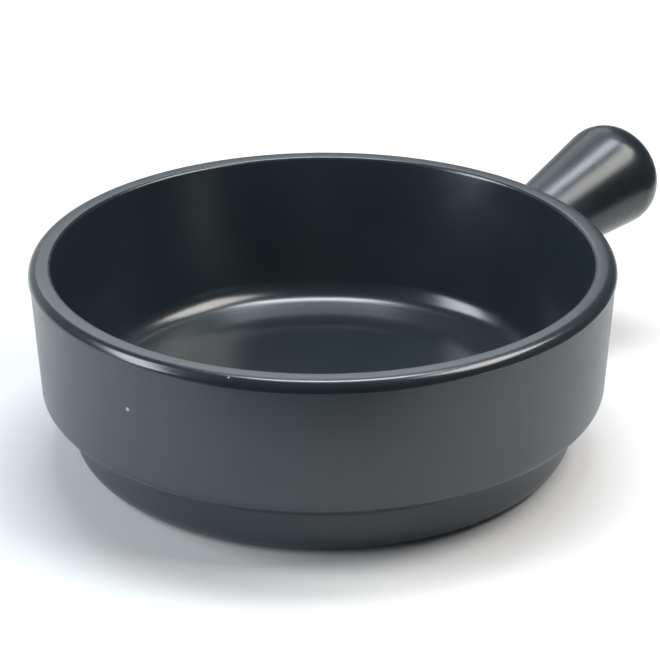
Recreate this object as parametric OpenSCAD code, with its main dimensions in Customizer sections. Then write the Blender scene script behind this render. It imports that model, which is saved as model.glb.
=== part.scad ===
// Lug soup bowl: a glazed stoneware bowl with a stepped stacking foot and one hollow stub handle.
// Millimetres. The bowl's axis is Z, its foot stands on z = 0 and the handle points along +X.

/* [Bowl] */
// Outside diameter of the rim
rim_d = 140; // [110:1:180]
// Height of the rim above the table
bowl_h = 48.5; // [46:0.5:70]
// Width of the rim from inside to outside
rim_w = 5.3; // [4.6:0.1:8]
// Rounding of the rim's outer edge
rim_round = 2.4; // [1.5:0.1:3]
// Rounding of the rim's inner edge
lip_round = 1; // [0.8:0.1:1.4]
// Upright band of the glossy rim below its rounding
lip_band = 0.2; // [0.1:0.1:2]
// How far the glossy rim stands out past the satin wall
lip_step = 0.3; // [0.1:0.05:0.6]
// How far the outer wall leans in from the rim to the shoulder
wall_lean = 1.7; // [0.5:0.1:5]
// Height of the shoulder, where the wall turns under
shoulder_h = 16; // [15:0.1:17]
// Rounding of the shoulder
shoulder_round = 3; // [1:0.5:4]

/* [Foot] */
// Width of the stacking step between the shoulder and the foot
step_w = 6.6; // [5:0.1:8]
// Height of the foot below the stacking step
step_h = 12; // [9:0.5:13]
// Rounding of the corner between the step and the foot
step_round = 2; // [1:0.5:4]
// How far the foot leans in from the step to the table
foot_lean = 0.9; // [0.5:0.1:4]
// Rounding of the foot's outer edge
foot_round = 6.3; // [4:0.1:7]
// Width of the foot ring under its roundings
ring_w = 10; // [9.5:0.1:12]
// Rounding of the ring's inner edge
ring_round = 1.5; // [0.8:0.1:2]
// How far the inside of the foot ring leans in
ring_lean = 1.5; // [0.5:0.1:3]
// Height of the hollow under the foot
recess_h = 4; // [2.5:0.1:5]
// Rounding of the corner of the hollow under the foot
recess_round = 1.5; // [0.8:0.1:2]
// Height above the table at which the glaze begins
bare_h = 0.4; // [0.3:0.1:1.5]

/* [Inside] */
// Height of the middle of the inside floor above the table
floor_h = 9; // [8:0.5:11]
// Width of the floor's rising edge
dish_w = 10.4; // [8:0.1:14]
// Rise of the floor from its middle to its edge
dish_h = 3.8; // [2:0.1:5]
// How far the inside wall leans in from the rim to the floor's edge
inside_lean = 6.6; // [3:0.1:8]
// Rounding between the floor's edge and the inside wall
floor_round = 7; // [4:0.5:9]

/* [Handle] */
// Length of the handle beyond the wall
handle_l = 44; // [36:0.5:60]
// Depth below the rim at which the handle's axis leaves the wall
handle_drop = 15; // [14:0.5:17]
// Upward tilt of the handle in degrees
handle_tilt = 14; // [5:1:20]
// Diameter of the neck at the wall
neck_d = 18; // [15:0.5:19]
// Largest diameter near the end
bulge_d = 27.4; // [24:0.1:32]
// Rounding of the edge at the end
end_round = 9.8; // [7:0.1:11]
// Radius of the domed end face
dome_round = 28; // [20:1:60]
// Diameter of the root where it meets the wall
root_d = 21.5; // [20:0.5:23]
// Widening of the root for each millimetre towards the wall
root_slope = 0.5; // [0.3:0.05:0.6]
// Rounding between the root and the neck
root_round = 8; // [3:0.5:12]
// Thickness of the handle's wall
handle_wall = 5; // [4:0.1:6]
// Diameter of the vent hole on the underside
vent_d = 4; // [3:0.5:5]
// Distance of the vent hole from the wall
vent_at = 15; // [12:0.5:20]

/* [Coats] */
// Thickness of the glaze
glaze_t = 0.5; // [0.3:0.05:0.6]
// Thickness of the slip that joins the handle to the wall
slip_t = 0.8; // [0.6:0.05:1.2]

/* [Hidden] */
$fn = 180;

// Straight steps along each rounding
arc_steps = 9;
// Depth of the handle's cutting form inside the wall
root_depth = 8;

rim_r = rim_d / 2;
wall_top_r = rim_r - lip_step;
lip_z = bowl_h - rim_round - lip_band;
handle_h = bowl_h - handle_drop;
shoulder_r = wall_top_r - wall_lean;
step_r = shoulder_r - step_w;
foot_r = step_r - foot_lean;
ring_r = foot_r - glaze_t - ring_w;
recess_r = ring_r - ring_lean;
rim_in_r = rim_r - rim_w;
floor_r = rim_in_r - inside_lean;
dish_r = floor_r - dish_w;

// Slopes of the floor's rising edge and of the inside wall
dish_a = atan2(dish_h, dish_w);
inside_a = atan2(bowl_h - floor_h - dish_h, inside_lean);
// Rounding of the floor that leaves about half of its rising edge straight
dish_round = 0.45 * (norm([dish_w, dish_h]) - floor_round * tan((inside_a - dish_a) / 2)) / tan(dish_a / 2);

clay = [0.80, 0.76, 0.69];
slip = [0.72, 0.67, 0.60];
gloss = [0.10, 0.12, 0.13];
satin = [0.23, 0.26, 0.28];

function unit(v) = v / norm(v);
function reverse(list) = [for (i = [len(list) - 1 : -1 : 0]) list[i]];
function arc(centre, r, from, to) =
    [for (i = [0 : arc_steps]) let (a = from + (to - from) * i / arc_steps) centre + r * [cos(a), sin(a)]];

// Arc of radius r in place of the corner b between the points a and c
function rounded(a, b, c, r) =
    let (
        u = unit(a - b),
        v = unit(c - b),
        half = acos(u * v) / 2,
        centre = b + unit(u + v) * r / sin(half),
        first = b + u * r / tan(half) - centre,
        last = b + v * r / tan(half) - centre,
        from = atan2(first[1], first[0]),
        turn = atan2(first[0] * last[1] - first[1] * last[0], first * last)
    )
    arc(centre, r, from, from + turn);

// Radius of the straight outer wall at the height z
function wall_r(z) = shoulder_r + wall_lean * (z - shoulder_h) / (lip_z - shoulder_h);

// Outer face from the table up to the glossy rim, moved in by inset
function outer_face(inset) =
    let (
        middle = [0, 0],
        foot = [foot_r - inset, 0],
        step = [step_r - inset, step_h],
        shoulder = [shoulder_r - inset, shoulder_h],
        top = [wall_top_r - inset, lip_z]
    )
    concat(
        rounded(middle, foot, step, foot_round),
        rounded(foot, step, shoulder, step_round),
        rounded(step, shoulder, top, shoulder_round),
        [top]
    );

// Inside face from the middle of the floor over the rim to the radius r outside, sunk by inset into the clay
function inner_face(r, inset) =
    let (
        middle = [0, floor_h - inset],
        dish = [dish_r, floor_h - inset],
        corner = [floor_r + inset, floor_h + dish_h - inset],
        inner = [rim_in_r + inset, bowl_h - inset],
        outer = [r, bowl_h - inset],
        edge = [r, lip_z]
    )
    concat(
        [middle],
        rounded(middle, dish, corner, dish_round + inset),
        rounded(dish, corner, inner, floor_round + inset),
        rounded(corner, inner, outer, lip_round - inset),
        rounded(inner, outer, edge, rim_round - inset),
        [edge]
    );

// Face of the hollow under the foot from the table to the axis, sunk by inset into the clay
function recess_face(inset) =
    let (
        foot = [foot_r, 0],
        ring = [ring_r + inset, 0],
        corner = [recess_r + inset, recess_h + inset],
        middle = [0, recess_h + inset]
    )
    concat(
        rounded(foot, ring, corner, ring_round),
        rounded(ring, corner, middle, recess_round + inset),
        [middle]
    );

// Handle outline as radius and distance from the wall, closed on the axis, moved in by inset
function handle_outline(inset) =
    let (
        neck = [neck_d / 2 - inset, 0],
        dome_c = [0, handle_l - dome_round],
        end_off = bulge_d / 2 - end_round,
        end_c = [end_off, dome_c[1] + sqrt(pow(dome_round - end_round, 2) - pow(end_off, 2))],
        end_r = end_round - inset,
        back = neck - end_c,
        side_a = atan2(back[1], back[0]) + acos(end_r / norm(back)),
        dome_a = atan2(end_c[1] - dome_c[1], end_c[0]),
        side = end_c + end_r * [cos(side_a), sin(side_a)],
        root_r = root_d / 2 - inset * sqrt(1 + root_slope * root_slope),
        root = [root_r + root_slope * root_depth, -root_depth],
        bend_z = (root_r - neck[0]) / (root_slope - tan(side_a)),
        bend = [root_r - root_slope * bend_z, bend_z]
    )
    concat(
        [[0, -root_depth], root],
        rounded(root, bend, side, root_round + inset),
        arc(end_c, end_r, side_a, dome_a),
        arc(dome_c, dome_round - inset, dome_a, 90)
    );

// Puts the handle's own axis on the wall
module on_wall() {
    translate([wall_r(handle_h), 0, handle_h])
        rotate([0, 90 - handle_tilt, 0])
            children();
}

module handle_form(inset) {
    on_wall()
        rotate_extrude()
            polygon(handle_outline(inset));
}

// Straight outer wall as a full cone from the table to the rim, grown outwards
module wall_cone(grow) {
    cylinder(h = bowl_h, r1 = wall_r(0) + grow, r2 = wall_r(bowl_h) + grow);
}

// Turns a section about the bowl's axis, with the seam on the side away from the handle
module turned() {
    rotate([0, 0, 180])
        rotate_extrude()
            children();
}

// Section of a coat between its outer face and the clay, wiped off below the bare height
module coat_section(face, clay_face) {
    intersection() {
        polygon(concat(face, reverse(clay_face)));
        translate([0, bare_h])
            square([rim_r, bowl_h]);
    }
}

module vent() {
    on_wall()
        translate([0, 0, vent_at])
            rotate([0, 90, 0])
                cylinder(h = bulge_d, d = vent_d);
}

// Clay shell with the bare ring that it stands on
module bowl_body() {
    color(clay)
        turned()
            polygon(concat(
                inner_face(wall_top_r - glaze_t, glaze_t),
                reverse(outer_face(glaze_t)),
                recess_face(glaze_t)
            ));
}

// Hollow clay stub, cut to sit on the slip against the wall
module lug_handle() {
    color(clay)
        difference() {
            handle_form(glaze_t);
            handle_form(handle_wall);
            wall_cone(slip_t - glaze_t);
            vent();
        }
}

// Ring of slip between the wall and the root of the handle
module luting_slip() {
    color(slip)
        difference() {
            intersection() {
                handle_form(glaze_t);
                wall_cone(slip_t - glaze_t);
            }
            handle_form(handle_wall);
            wall_cone(-glaze_t);
        }
}

// Gloss coat on the floor, the inside wall and the rim
module inside_glaze() {
    color(gloss)
        turned()
            coat_section(inner_face(rim_r, 0), inner_face(wall_top_r - glaze_t, glaze_t));
}

// Satin coat on the wall, the step and the side of the foot, open where the handle is joined
module outside_glaze() {
    color(satin)
        difference() {
            turned()
                coat_section(outer_face(0), outer_face(glaze_t));
            handle_form(glaze_t);
        }
}

// Satin coat on the handle
module handle_glaze() {
    color(satin)
        difference() {
            handle_form(0);
            handle_form(glaze_t);
            wall_cone(0);
            vent();
        }
}

// Satin coat in the hollow under the foot
module base_glaze() {
    color(satin)
        turned()
            coat_section(recess_face(0), recess_face(glaze_t));
}

bowl_body();
lug_handle();
luting_slip();
inside_glaze();
outside_glaze();
handle_glaze();
base_glaze();
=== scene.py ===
import math

import bpy
from mathutils import Matrix, Vector


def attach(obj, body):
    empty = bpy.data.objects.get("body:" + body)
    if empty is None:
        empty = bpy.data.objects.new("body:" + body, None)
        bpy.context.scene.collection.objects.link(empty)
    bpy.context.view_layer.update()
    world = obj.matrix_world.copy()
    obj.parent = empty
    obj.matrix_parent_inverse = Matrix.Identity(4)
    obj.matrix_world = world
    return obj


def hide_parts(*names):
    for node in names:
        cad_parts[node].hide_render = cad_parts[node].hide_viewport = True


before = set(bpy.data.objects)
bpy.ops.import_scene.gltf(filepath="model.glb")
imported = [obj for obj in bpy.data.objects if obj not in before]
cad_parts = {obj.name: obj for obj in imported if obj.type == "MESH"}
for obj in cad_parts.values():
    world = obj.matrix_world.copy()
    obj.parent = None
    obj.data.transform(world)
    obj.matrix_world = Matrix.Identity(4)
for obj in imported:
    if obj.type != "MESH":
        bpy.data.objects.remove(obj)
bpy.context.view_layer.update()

# Sizes of the bowl in millimetres, the same as in the part's source
MM = 0.001
RIM_R = 70.0
BOWL_H = 48.5
RIM_W = 5.3
RIM_ROUND = 2.4
LIP_ROUND = 1.0
LIP_BAND = 0.2
LIP_STEP = 0.3
WALL_LEAN = 1.7
SHOULDER_H = 16.0
SHOULDER_ROUND = 3.0
STEP_W = 6.6
STEP_H = 12.0
STEP_ROUND = 2.0
FOOT_LEAN = 0.9
FOOT_ROUND = 6.3
RING_W = 10.0
RING_ROUND = 1.5
RING_LEAN = 1.5
RECESS_H = 4.0
RECESS_ROUND = 1.5
BARE_H = 0.4
FLOOR_H = 9.0
DISH_W = 10.4
DISH_H = 3.8
DISH_SHARE = 0.45
INSIDE_LEAN = 6.6
FLOOR_ROUND = 7.0
HANDLE_L = 44.0
HANDLE_DROP = 15.0
HANDLE_TILT = 14.0
NECK_D = 18.0
BULGE_D = 27.4
END_ROUND = 9.8
DOME_ROUND = 28.0
ROOT_D = 21.5
ROOT_SLOPE = 0.5
ROOT_ROUND = 8.0
VENT_D = 4.0
VENT_AT = 15.0
GLAZE_T = 0.5

# Rounding of the glaze where the handle meets the wall, and the reach of the lines that it rounds
ROOT_FILLET = 2.0
FILLET_REACH = 3.0

# Distance to which the flare of the root is followed on both sides of the wall's face
ROOT_REACH = 8.0

# Sizes that follow from the others
WALL_TOP_R = RIM_R - LIP_STEP
LIP_Z = BOWL_H - RIM_ROUND - LIP_BAND
SHOULDER_R = WALL_TOP_R - WALL_LEAN
STEP_R = SHOULDER_R - STEP_W
FOOT_R = STEP_R - FOOT_LEAN
RING_R = FOOT_R - GLAZE_T - RING_W
RECESS_R = RING_R - RING_LEAN
RIM_IN_R = RIM_R - RIM_W
FLOOR_R = RIM_IN_R - INSIDE_LEAN
DISH_R = FLOOR_R - DISH_W
DISH_A = math.atan2(DISH_H, DISH_W)
INSIDE_A = math.atan2(BOWL_H - FLOOR_H - DISH_H, INSIDE_LEAN)
DISH_RUN = math.hypot(DISH_W, DISH_H) - FLOOR_ROUND * math.tan((INSIDE_A - DISH_A) / 2)
DISH_ROUND = DISH_SHARE * DISH_RUN / math.tan(DISH_A / 2)
HANDLE_H = BOWL_H - HANDLE_DROP

# Fineness of the meshes
TURN_STEPS = 288
HANDLE_STEPS = 128
VENT_STEPS = 48
ARC_STEPS = 20
RUN_STEP = 2.0
SHARP_ANGLE = math.radians(35)

# Radius under which a point of an outline counts as lying on the axis
POLE_R = 1e-6

# Steps of the search for the line where the handle meets the wall
HALVINGS = 40


# Outlines, as points of radius and height

def arc(centre, r, start, turn):
    angles = [start + turn * i / ARC_STEPS for i in range(ARC_STEPS + 1)]
    return [centre + r * Vector((math.cos(a), math.sin(a))) for a in angles]


def rounded(a, b, c, r):
    """Arc of radius r in place of the corner b between the points a and c."""
    a, b, c = Vector(a), Vector(b), Vector(c)
    u = (a - b).normalized()
    v = (c - b).normalized()
    half = math.acos(u.dot(v)) / 2
    centre = b + (u + v).normalized() * r / math.sin(half)
    first = b + u * r / math.tan(half) - centre
    last = b + v * r / math.tan(half) - centre
    turn = math.atan2(first.x * last.y - first.y * last.x, first.dot(last))
    return arc(centre, r, math.atan2(first.y, first.x), turn)


def filled(points):
    """The same outline with points added along its long straight runs."""
    out = []
    for a, b in zip(points, points[1:]):
        n = max(1, math.ceil((b - a).length / RUN_STEP))
        out += [a.lerp(b, i / n) for i in range(n)]
    return out + [points[-1]]


def above(points, z):
    """The part of an outline from the first place where it reaches the height z."""
    first = next(i for i, p in enumerate(points) if p.y >= z)
    if first == 0:
        return points
    a, b = points[first - 1], points[first]
    return [a.lerp(b, (z - a.y) / (b.y - a.y))] + points[first:]


def wall_r(z):
    return SHOULDER_R + WALL_LEAN * (z - SHOULDER_H) / (LIP_Z - SHOULDER_H)


def outer_face(inset):
    """From the table up to the glossy rim."""
    foot = (FOOT_R - inset, 0)
    step = (STEP_R - inset, STEP_H)
    shoulder = (SHOULDER_R - inset, SHOULDER_H)
    top = Vector((WALL_TOP_R - inset, LIP_Z))
    return filled(
        rounded((0, 0), foot, step, FOOT_ROUND)
        + rounded(foot, step, shoulder, STEP_ROUND)
        + rounded(step, shoulder, top, SHOULDER_ROUND)
        + [top]
    )


def inner_face(r, inset):
    """From the middle of the floor over the rim to the radius r outside."""
    middle = Vector((0, FLOOR_H - inset))
    dish = (DISH_R, FLOOR_H - inset)
    corner = (FLOOR_R + inset, FLOOR_H + DISH_H - inset)
    inner = (RIM_IN_R + inset, BOWL_H - inset)
    outer = (r, BOWL_H - inset)
    edge = Vector((r, LIP_Z))
    return filled(
        [middle]
        + rounded(middle, dish, corner, DISH_ROUND + inset)
        + rounded(dish, corner, inner, FLOOR_ROUND + inset)
        + rounded(corner, inner, outer, LIP_ROUND - inset)
        + rounded(inner, outer, edge, RIM_ROUND - inset)
        + [edge]
    )


def recess_face(inset):
    """The hollow under the foot, from the table to the axis."""
    ring = (RING_R + inset, 0)
    corner = (RECESS_R + inset, RECESS_H + inset)
    middle = Vector((0, RECESS_H + inset))
    return filled(
        rounded((FOOT_R, 0), ring, corner, RING_ROUND)
        + rounded(ring, corner, middle, RECESS_ROUND + inset)
        + [middle]
    )


def root_flare(inset, u):
    """Radius of the handle's flared root at the distance u from the wall."""
    return ROOT_D / 2 - inset * math.hypot(1, ROOT_SLOPE) - ROOT_SLOPE * u


def handle_outline(inset):
    """Radius and distance from the wall, from the tip of the handle back to the bend above the root."""
    neck = Vector((NECK_D / 2 - inset, 0))
    dome_c = Vector((0, HANDLE_L - DOME_ROUND))
    end_off = BULGE_D / 2 - END_ROUND
    end_c = Vector((end_off, dome_c.y + math.sqrt((DOME_ROUND - END_ROUND) ** 2 - end_off ** 2)))
    end_r = END_ROUND - inset
    back = neck - end_c
    side_a = math.atan2(back.y, back.x) + math.acos(end_r / back.length)
    dome_a = math.atan2(end_c.y - dome_c.y, end_c.x)
    side = end_c + end_r * Vector((math.cos(side_a), math.sin(side_a)))
    bend_u = (root_flare(inset, 0) - neck.x) / (ROOT_SLOPE - math.tan(side_a))
    bend = (root_flare(inset, bend_u), bend_u)
    root = (root_flare(inset, -ROOT_REACH), -ROOT_REACH)
    dome = arc(dome_c, DOME_ROUND - inset, math.pi / 2, dome_a - math.pi / 2)
    end = arc(end_c, end_r, dome_a, side_a - dome_a)
    dome[0].x = 0
    return filled(dome + end[1:] + rounded(side, bend, root, ROOT_ROUND + inset))


# Meshes

def add_object(name, data):
    made = bpy.data.objects.new(name, data)
    bpy.context.scene.collection.objects.link(made)
    return made


def smooth(mesh):
    mesh.shade_smooth()
    mesh.set_sharp_from_angle(angle=SHARP_ANGLE)


def skin(name, rings):
    """A closed mesh from a closed row of rings in millimetres. A ring of one point is a pole."""
    verts, starts = [], []
    for ring in rings:
        starts.append((len(verts), len(ring)))
        verts += [v * MM for v in ring]
    faces = []
    for (a, na), (b, nb) in zip(starts, starts[1:] + starts[:1]):
        if na == nb == 1:
            continue
        n = max(na, nb)
        for i in range(n):
            j = (i + 1) % n
            low = [a + i, a + j] if na > 1 else [a]
            high = [b + j, b + i] if nb > 1 else [b]
            faces.append(low + high)
    mesh = bpy.data.meshes.new(name)
    mesh.from_pydata(verts, [], faces)
    mesh.validate()
    mesh.update()
    smooth(mesh)
    return add_object(name, mesh)


def full_turn(steps):
    return [2 * math.pi * i / steps for i in range(steps)]


def on_bowl(r, h, turn):
    """Point at the radius r from the bowl's axis and the height h."""
    return Vector((r * math.cos(turn), r * math.sin(turn), h))


def spun(outline, steps, place):
    """Rings from an outline that is turned about the axis of place."""
    rings = []
    for p in outline:
        turns = full_turn(steps) if p.x >= POLE_R else [0]
        rings.append([place(p.x, p.y, t) for t in turns])
    return rings


def coat(name, first, second):
    """A coat between two faces, with the coat on the left of the first, down to the bare height."""
    outline = above(first, BARE_H) + above(second, BARE_H)[::-1]
    return skin(name, spun(outline, TURN_STEPS, on_bowl))


# The handle, which leaves the wall along the part's X axis and rises by its tilt

TILT = math.radians(HANDLE_TILT)
HANDLE_AXIS = Vector((math.cos(TILT), 0, math.sin(TILT)))
HANDLE_DOWN = Vector((math.sin(TILT), 0, -math.cos(TILT)))
HANDLE_SIDE = Vector((0, 1, 0))
HANDLE_AT = Vector((wall_r(HANDLE_H), 0, HANDLE_H))


def on_handle(r, u, turn):
    """Point at the radius r from the handle's axis and the distance u along it, turned from below."""
    out = HANDLE_DOWN * math.cos(turn) + HANDLE_SIDE * math.sin(turn)
    return HANDLE_AT + HANDLE_AXIS * u + out * r


def meets_wall(radius_at, turn):
    """Distance along the handle at which a line of radius_at(u) crosses the wall."""
    low, high = -ROOT_REACH, ROOT_REACH
    for _ in range(HALVINGS):
        u = (low + high) / 2
        p = on_handle(radius_at(u), u, turn)
        if math.hypot(p.x, p.y) > wall_r(p.z):
            high = u
        else:
            low = u
    return (low + high) / 2


def root_row(inset, fillet, turn):
    """Points from the root of the handle onto the wall, for one direction around the handle."""
    u = meets_wall(lambda v: root_flare(inset, v), turn)
    r = root_flare(inset, u)
    if not fillet:
        return [Vector((r, u))]
    up = (root_flare(inset, u + FILLET_REACH), u + FILLET_REACH)
    out_r = r + FILLET_REACH
    out = (out_r, meets_wall(lambda v: out_r, turn))
    return rounded(up, (r, u), out, fillet)


def handle_face(inset, fillet):
    """Rings over one face of the handle's coat, from the tip to the wall."""
    turns = full_turn(HANDLE_STEPS)
    roots = [root_row(inset, fillet, t) for t in turns]
    rings = spun(handle_outline(inset), HANDLE_STEPS, on_handle)
    for row in zip(*roots):
        rings.append([on_handle(q.x, q.y, t) for q, t in zip(row, turns)])
    return rings


def handle_skin(name):
    """The coat of the handle with its rounding onto the wall, as a closed shell."""
    return skin(name, handle_face(0, ROOT_FILLET) + handle_face(GLAZE_T, 0)[::-1])


def handle_core(name):
    """The form of the handle under its coat, as a solid that cuts the wall's coat."""
    root = Vector((root_flare(GLAZE_T, -ROOT_REACH), -ROOT_REACH))
    middle = Vector((0, -ROOT_REACH))
    return skin(name, spun(handle_outline(GLAZE_T) + [root, middle], HANDLE_STEPS, on_handle))


def vent_core(name):
    """The vent hole as a solid cylinder that points down from the handle's axis."""
    top = on_handle(0, VENT_AT, 0)
    bottom = on_handle(BULGE_D, VENT_AT, 0)
    turns = full_turn(VENT_STEPS)
    around = [VENT_D / 2 * (HANDLE_AXIS * math.cos(t) - HANDLE_SIDE * math.sin(t)) for t in turns]
    return skin(name, [[top], [top + p for p in around], [bottom + p for p in around], [bottom]])


def cut(piece, tool):
    """Takes the tool's solid out of the piece and removes the tool."""
    step = piece.modifiers.new("cut", "BOOLEAN")
    step.operation = "DIFFERENCE"
    step.solver = "EXACT"
    step.object = tool
    depsgraph = bpy.context.evaluated_depsgraph_get()
    mesh = bpy.data.meshes.new_from_object(piece.evaluated_get(depsgraph))
    piece.modifiers.clear()
    piece.data = mesh
    smooth(mesh)
    bpy.data.objects.remove(tool)


# Materials, each with a dark and a light tone that a noise blends

SATIN_TONES = ((0.028, 0.039, 0.048), (0.034, 0.047, 0.057))
GRIP_TONES = ((0.010, 0.014, 0.018), (0.013, 0.018, 0.022))
GLOSS_TONES = ((0.016, 0.024, 0.029), (0.022, 0.030, 0.035))
CLAY_TONES = ((0.52, 0.47, 0.39), (0.66, 0.61, 0.53))
SLIP_TONES = ((0.42, 0.37, 0.30), (0.54, 0.48, 0.41))
PAPER_TONES = ((0.87, 0.86, 0.85), (0.89, 0.88, 0.87))
# Tones of the dark card, a painted shade that the glaze mirrors
SHADE_CARD_TONES = ((0.02, 0.02, 0.02), (0.03, 0.03, 0.03))

# Where the wall's look turns into the grip's, in metres from the bowl's axis
GRIP_START = 0.070
GRIP_END = 0.086

# Small pale spots in the glaze's colour, one on the wall and a nick in the rim: place and radius in
# metres, and colour
# A pale grey-blue spot on the outer wall
WALL_PALE_SPOT = ((-0.0681, -0.0110, 0.0344), 0.0006, (0.44, 0.48, 0.50))
RIM_NICK = ((-0.0592, -0.0354, 0.0480), 0.0003, (0.50, 0.50, 0.47))


class Shader:
    """A node material with a principled surface and short calls to add nodes."""

    def __init__(self, name):
        self.material = bpy.data.materials.new(name)
        self.material.use_nodes = True
        self.nodes = self.material.node_tree.nodes
        self.links = self.material.node_tree.links
        self.surface = self.nodes["Principled BSDF"]
        self.place = self.nodes.new("ShaderNodeTexCoord").outputs["Object"]

    def set(self, name, value):
        self.surface.inputs[name].default_value = value

    def link(self, output, name):
        self.links.new(output, self.surface.inputs[name])

    def noise(self, scale, detail):
        node = self.nodes.new("ShaderNodeTexNoise")
        node.inputs["Scale"].default_value = scale
        node.inputs["Detail"].default_value = detail
        self.links.new(self.place, node.inputs["Vector"])
        return node.outputs["Fac"]

    def tones(self, value, dark, light, start=0.3, end=0.7):
        """Colour that goes from dark to light while the value goes from start to end."""
        node = self.nodes.new("ShaderNodeValToRGB")
        first, last = node.color_ramp.elements
        first.position = start
        first.color = (*dark, 1)
        last.position = end
        last.color = (*light, 1)
        self.links.new(value, node.inputs["Fac"])
        return node.outputs["Color"]

    def spread(self, value, low, high, start=0.0, end=1.0):
        """Number that goes from low to high while the value goes from start to end."""
        node = self.nodes.new("ShaderNodeMapRange")
        node.inputs["From Min"].default_value = start
        node.inputs["From Max"].default_value = end
        node.inputs["To Min"].default_value = low
        node.inputs["To Max"].default_value = high
        self.links.new(value, node.inputs["Value"])
        return node.outputs["Result"]

    def mix(self, share, first, second):
        node = self.nodes.new("ShaderNodeMixRGB")
        self.links.new(share, node.inputs["Fac"])
        self.links.new(first, node.inputs["Color1"])
        self.links.new(second, node.inputs["Color2"])
        return node.outputs["Color"]

    def along_handle(self):
        node = self.nodes.new("ShaderNodeSeparateXYZ")
        self.links.new(self.place, node.inputs["Vector"])
        return node.outputs["X"]

    def spot(self, colour, centre, radius, pale):
        """The same colour with a small pale spot that fades over the outer half of its radius."""
        away = self.nodes.new("ShaderNodeVectorMath")
        away.operation = "DISTANCE"
        away.inputs[1].default_value = centre
        self.links.new(self.place, away.inputs[0])
        node = self.nodes.new("ShaderNodeMixRGB")
        node.inputs["Color2"].default_value = (*pale, 1)
        self.links.new(self.spread(away.outputs["Value"], 1, 0, radius / 2, radius), node.inputs["Fac"])
        self.links.new(colour, node.inputs["Color1"])
        return node.outputs["Color"]

    def bump(self, value, height, below=None):
        node = self.nodes.new("ShaderNodeBump")
        node.inputs["Distance"].default_value = height
        self.links.new(value, node.inputs["Height"])
        if below is not None:
            self.links.new(below, node.inputs["Normal"])
        return node.outputs["Normal"]


def satin_glaze():
    """Satin glaze of the outside, darker and smoother on the grip of the handle."""
    s = Shader("satin_glaze")
    grip = s.spread(s.along_handle(), 0, 1, GRIP_START, GRIP_END)
    cloud = s.noise(scale=45, detail=3)
    grain = s.noise(scale=160, detail=3)
    tone = s.mix(grip, s.tones(cloud, *SATIN_TONES), s.tones(cloud, *GRIP_TONES))
    # Paints a small pale grey-blue spot on the wall
    s.link(s.spot(tone, *WALL_PALE_SPOT), "Base Color")
    s.set("IOR", 1.55)
    s.link(s.mix(grip, s.spread(grain, 0.30, 0.36), s.spread(grain, 0.25, 0.30)), "Roughness")
    waves = s.bump(s.noise(scale=60, detail=1), height=0.0001)
    s.link(s.bump(s.noise(scale=1800, detail=2), height=0.000004, below=waves), "Normal")
    return s.material


def gloss_glaze():
    """Glossy glaze of the inside and the rim."""
    s = Shader("gloss_glaze")
    tone = s.tones(s.noise(scale=45, detail=3), *GLOSS_TONES)
    s.link(s.spot(tone, *RIM_NICK), "Base Color")
    s.set("IOR", 1.66)
    s.link(s.spread(s.noise(scale=220, detail=3), 0.19, 0.24), "Roughness")
    waves = s.bump(s.noise(scale=80, detail=1), height=0.00004)
    s.link(s.bump(s.noise(scale=1500, detail=2), height=0.000003, below=waves), "Normal")
    return s.material


def bare_clay(name, dark, light):
    s = Shader(name)
    grain = s.noise(scale=900, detail=6)
    s.link(s.tones(grain, dark, light, start=0.35, end=0.65), "Base Color")
    s.link(s.spread(grain, 0.8, 0.95), "Roughness")
    s.link(s.bump(s.noise(scale=2600, detail=4), height=0.00008), "Normal")
    return s.material


def floor_paper():
    s = Shader("floor_paper")
    s.link(s.tones(s.noise(scale=6, detail=2), *PAPER_TONES), "Base Color")
    s.link(s.spread(s.noise(scale=300, detail=3), 0.7, 0.8), "Roughness")
    return s.material


# Material of the dark card, a painted shade that the glaze mirrors
def painted_shade_card():
    s = Shader("painted_shade_card")
    s.link(s.tones(s.noise(scale=40, detail=2), *SHADE_CARD_TONES), "Base Color")
    s.set("Roughness", 0.9)
    return s.material


def dress(piece, material):
    piece.data.materials.clear()
    piece.data.materials.append(material)


def add_piece(piece, node, material):
    dress(piece, material)
    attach(piece, "root")
    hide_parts(node)


# Camera, fitted to the photograph in a frame where it looks along +Y
# In the part's own frame the handle lies along +X, so the stage is turned about Z

HANDLE_TURN = math.radians(42.2)
EYE = Vector((0.00167, -0.54436, 0.28089))
LOOK_DOWN = math.radians(24.87)
ROLL = math.radians(-0.165)
LENS = 135.48
SENSOR_W = 36
CLIP_START = 0.01
TO_PART = Matrix.Rotation(-HANDLE_TURN, 4, "Z")


def add_camera():
    data = bpy.data.cameras.new("camera")
    data.sensor_width = SENSOR_W
    data.lens = LENS
    data.clip_start = CLIP_START
    camera = add_object("camera", data)
    tilt = Matrix.Rotation(math.pi / 2 - LOOK_DOWN, 4, "X")
    camera.matrix_world = TO_PART @ Matrix.Translation(EYE) @ tilt @ Matrix.Rotation(ROLL, 4, "Z")
    bpy.context.scene.camera = camera


# Stage and lights, in metres

COOL = (0.88, 0.95, 1.0)
WARM = (1.0, 0.98, 0.95)
ROOM = (0.08, 0.08, 0.09)
AIM = Vector((0, 0, 0.03))

SWEEP_HALF_W = 2.0
SWEEP_FRONT = -2.0
SWEEP_BACK = 0.9
SWEEP_ROUND = 0.35
SWEEP_TOP = 1.3
SWEEP_STEPS = 16
SWEEP_TURN = math.radians(25)

# Edges of the dark card, a painted shade for the glaze to mirror: CARD_NEAR runs in front of the bowl and
# CARD_SIDE at its right
CARD_LEFT = -1.9
CARD_RIGHT = 1.7
CARD_FRONT = -1.7
CARD_NEAR = -0.131
CARD_SIDE = 0.18
CARD_BACK = 0.45
CARD_Z = 0.0005


def from_bowl(azimuth, elevation, distance):
    """Point seen from the bowl: azimuth 0 is behind it, 90 to its right and 180 towards the camera."""
    a, e = math.radians(azimuth), math.radians(elevation)
    return distance * Vector((math.cos(e) * math.sin(a), math.cos(e) * math.cos(a), math.sin(e)))


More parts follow.
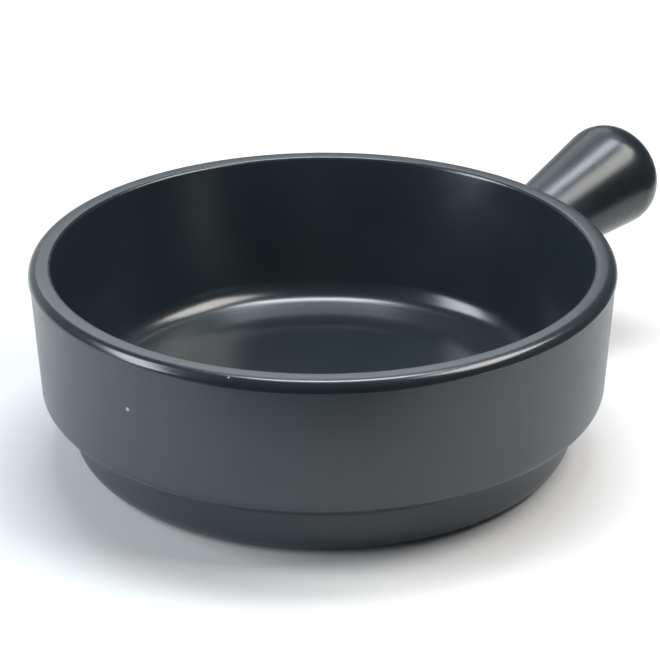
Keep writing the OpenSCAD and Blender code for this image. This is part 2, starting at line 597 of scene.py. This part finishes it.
def add_light(name, azimuth, elevation, distance, width, height, radiance, colour, spin=0):
    """Soft rectangular light aimed at the bowl and turned about its aim by spin. Angles are in degrees."""
    data = bpy.data.lights.new(name, "AREA")
    data.shape = "RECTANGLE"
    data.size = width
    data.size_y = height
    data.energy = radiance * math.pi * width * height
    data.color = colour
    light = add_object(name, data)
    at = from_bowl(azimuth, elevation, distance) + AIM
    aim = (AIM - at).to_track_quat("-Z", "Y").to_matrix().to_4x4()
    turned_aim = aim @ Matrix.Rotation(math.radians(spin), 4, "Z")
    light.matrix_world = TO_PART @ Matrix.Translation(at) @ turned_aim


def add_sweep():
    """White paper that lies under the bowl and curves up behind it."""
    line = [(SWEEP_FRONT, 0)]
    for i in range(SWEEP_STEPS + 1):
        a = math.pi / 2 * i / SWEEP_STEPS
        line.append((SWEEP_BACK + SWEEP_ROUND * math.sin(a), SWEEP_ROUND - SWEEP_ROUND * math.cos(a)))
    line.append((SWEEP_BACK + SWEEP_ROUND, SWEEP_TOP))
    verts = [(x, y, z) for y, z in line for x in (-SWEEP_HALF_W, SWEEP_HALF_W)]
    faces = [(2 * i, 2 * i + 1, 2 * i + 3, 2 * i + 2) for i in range(len(line) - 1)]
    mesh = bpy.data.meshes.new("sweep")
    mesh.from_pydata(verts, [], faces)
    mesh.shade_smooth()
    sweep = add_object("sweep", mesh)
    sweep.matrix_world = TO_PART @ Matrix.Rotation(SWEEP_TURN, 4, "Z")
    dress(sweep, floor_paper())


def add_card():
    """Dark card on the table in front of the bowl and to its right: a painted shade for the rim and the
    wall to mirror, in place of the unlit room.

    It lies outside the picture. In other views it neither shows nor casts a shadow.
    """
    line = [
        (CARD_LEFT, CARD_FRONT),
        (CARD_RIGHT, CARD_FRONT),
        (CARD_RIGHT, CARD_BACK),
        (CARD_SIDE, CARD_BACK),
        (CARD_SIDE, CARD_NEAR),
        (CARD_LEFT, CARD_NEAR),
    ]
    mesh = bpy.data.meshes.new("card")
    mesh.from_pydata([(x, y, CARD_Z) for x, y in line], [], [range(len(line))])
    card = add_object("card", mesh)
    card.matrix_world = TO_PART
    card.visible_camera = False
    card.visible_shadow = False
    dress(card, painted_shade_card())


def add_world(radiance):
    world = bpy.data.worlds.new("room")
    world.use_nodes = True
    world.node_tree.nodes["Background"].inputs["Color"].default_value = (*radiance, 1)
    bpy.context.scene.world = world


# The dressed part

satin = satin_glaze()
gloss = gloss_glaze()
clay = bare_clay("bare_clay", *CLAY_TONES)
slip = bare_clay("joining_slip", *SLIP_TONES)

inside_coat = coat("inside_coat", inner_face(WALL_TOP_R - GLAZE_T, GLAZE_T), inner_face(RIM_R, 0))
outside_coat = coat("outside_coat", outer_face(0), outer_face(GLAZE_T))
base_coat = coat("base_coat", recess_face(GLAZE_T), recess_face(0))
handle_coat = handle_skin("handle_coat")
cut(outside_coat, handle_core("handle_core"))
cut(handle_coat, vent_core("vent_core"))

add_piece(inside_coat, "inside_glaze", gloss)
add_piece(outside_coat, "outside_glaze", satin)
add_piece(base_coat, "base_glaze", satin)
add_piece(handle_coat, "handle_glaze", satin)
dress(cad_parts["bowl_body"], clay)
dress(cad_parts["lug_handle"], clay)
dress(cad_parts["luting_slip"], slip)

# The picture

add_camera()
add_sweep()
# The dark card is a painted shade for the rim and the wall to mirror
add_card()
add_world(ROOM)
add_light("overhead", azimuth=14, elevation=80, distance=1.0, width=0.52, height=0.22,
          radiance=15.8, colour=COOL, spin=14)
add_light("high", azimuth=10, elevation=60, distance=1.1, width=0.8, height=0.5,
          radiance=1.0, colour=COOL)
add_light("left", azimuth=-104, elevation=27, distance=1.15, width=0.38, height=1.08,
          radiance=9.2, colour=COOL, spin=30)
add_light("right", azimuth=96, elevation=52, distance=0.48, width=0.31, height=0.2,
          radiance=8.7, colour=WARM)
add_light("back", azimuth=-8, elevation=36, distance=1.15, width=0.7, height=0.5,
          radiance=1.55, colour=COOL)
bpy.context.scene.view_settings.view_transform = "Standard"
